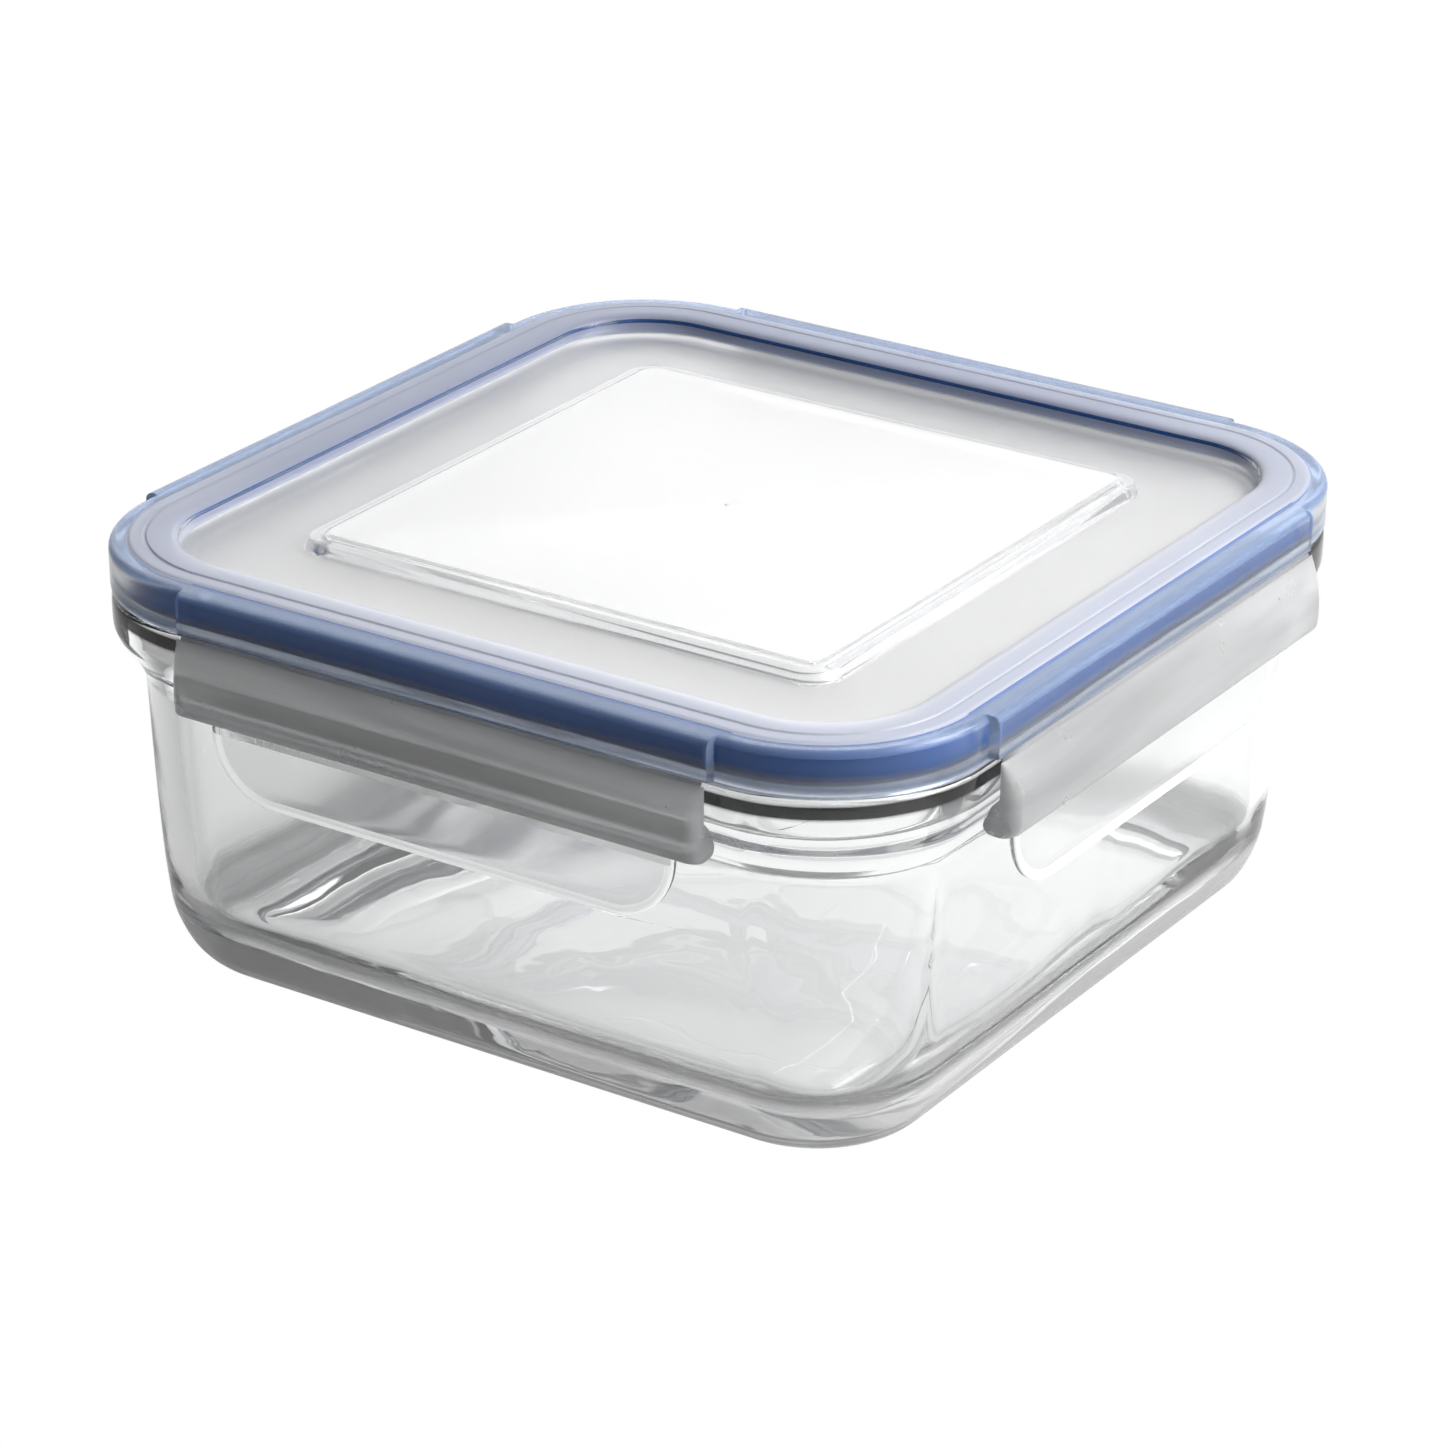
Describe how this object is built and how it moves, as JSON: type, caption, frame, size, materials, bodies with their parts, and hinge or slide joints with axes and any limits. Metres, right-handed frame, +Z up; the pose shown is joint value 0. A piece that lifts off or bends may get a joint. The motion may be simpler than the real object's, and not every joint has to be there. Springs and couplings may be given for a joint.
{
  "type": "lidded glass canister",
  "caption": "Square rounded-corner glass food canister with a translucent snap-lock lid, a silicone gasket and hinged locking flaps on every side.",
  "frame": {"origin": "centre of the foot, on the surface the canister stands on", "axes": "+Z up, -Y towards the front flap, +X towards the right flap"},
  "size_m": [0.1616, 0.1616, 0.0712],
  "materials": {
    "clear_glass": "clear, polished",
    "milky_plastic": "translucent satin polypropylene",
    "blue_silicone": "smooth matt silicone"
  },
  "bodies": {
    "glass": {"glass_body": "clear_glass"},
    "lid": {"lid_shell": "milky_plastic", "gasket": "blue_silicone", "hinge_web_front": "milky_plastic", "hinge_web_right": "milky_plastic", "hinge_web_back": "milky_plastic", "hinge_web_left": "milky_plastic"},
    "flap_f": {"flap_front": "milky_plastic", "catch_rib_front": "milky_plastic"},
    "flap_r": {"flap_right": "milky_plastic", "catch_rib_right": "milky_plastic"},
    "flap_b": {"flap_back": "milky_plastic", "catch_rib_back": "milky_plastic"},
    "flap_l": {"flap_left": "milky_plastic", "catch_rib_left": "milky_plastic"}
  },
  "joints": [
    {"name": "lid_lift", "type": "slide", "parent": "glass", "child": "lid", "axis": [0, 0, 1], "range_m": [0, 0.08], "deforming": ["catch_rib_front", "catch_rib_right", "catch_rib_back", "catch_rib_left"]},
    {"name": "flap_front_hinge", "type": "hinge", "parent": "lid", "child": "flap_f", "pos_m": [0, -0.078, 0.0638], "axis": [-1, 0, 0], "range_deg": [0, 118], "deforming": ["hinge_web_front"]},
    {"name": "flap_right_hinge", "type": "hinge", "parent": "lid", "child": "flap_r", "pos_m": [0.078, 0, 0.0638], "axis": [0, -1, 0], "range_deg": [0, 118], "deforming": ["hinge_web_right"]},
    {"name": "flap_back_hinge", "type": "hinge", "parent": "lid", "child": "flap_b", "pos_m": [0, 0.078, 0.0638], "axis": [1, 0, 0], "range_deg": [0, 118], "deforming": ["hinge_web_back"]},
    {"name": "flap_left_hinge", "type": "hinge", "parent": "lid", "child": "flap_l", "pos_m": [-0.078, 0, 0.0638], "axis": [0, 1, 0], "range_deg": [0, 118], "deforming": ["hinge_web_left"]}
  ]
}
